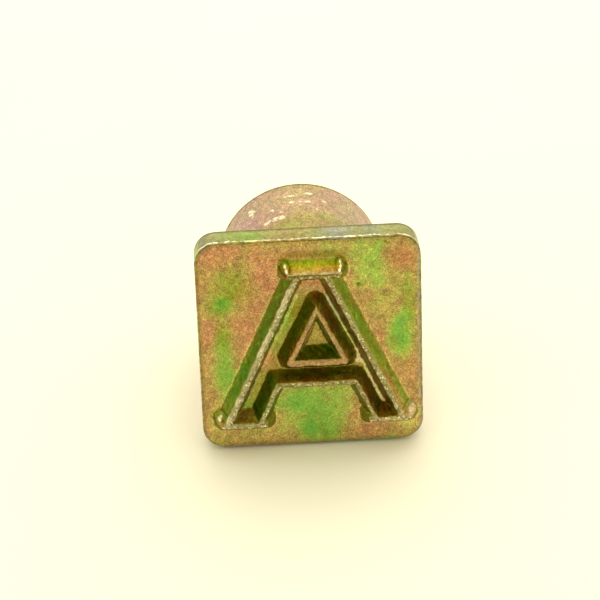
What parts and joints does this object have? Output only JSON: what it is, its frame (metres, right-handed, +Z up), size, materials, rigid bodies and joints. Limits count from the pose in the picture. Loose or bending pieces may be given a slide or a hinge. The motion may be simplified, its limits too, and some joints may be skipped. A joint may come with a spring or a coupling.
{
  "type": "stamping tool",
  "caption": "Interchangeable leather letter stamp: square head with a raised outline letter A and a round hollow shank that takes a striking handle.",
  "frame": {"origin": "middle of the whole stamp's bounding box, on the surface it lies on", "axes": "+Z up from the surface; +Y from the stamping face towards the shank's rear, with the tool axis tipped 7.6 degrees rear down in the YZ plane; +X to the right of someone who looks at the stamping face, the letter upright"},
  "size_m": [0.0222, 0.0254, 0.0224],
  "materials": {
    "head_chromate": "grainy cast metal, yellow iridescent chromate plating mottled orange and green",
    "shank_chromate": "turned metal, thin pinkish yellow chromate plating with pale worn spots",
    "pin_steel": "ground steel, lightly plated",
    "hard_steel": "dark hardened and ground steel",
    "spring_steel": "drawn spring wire"
  },
  "bodies": {
    "stamp": {"letter_head": "head_chromate", "shank_sleeve": "shank_chromate", "cross_pin": "pin_steel", "strike_disc": "hard_steel"},
    "ring": {"retaining_ring": "spring_steel"}
  },
  "joints": [
    {"name": "ring_turn", "type": "hinge", "parent": "stamp", "child": "ring", "pos_m": [0, 0.0006, 0.01004], "axis": [0, 0.9912, -0.1326], "continuous": true}
  ]
}
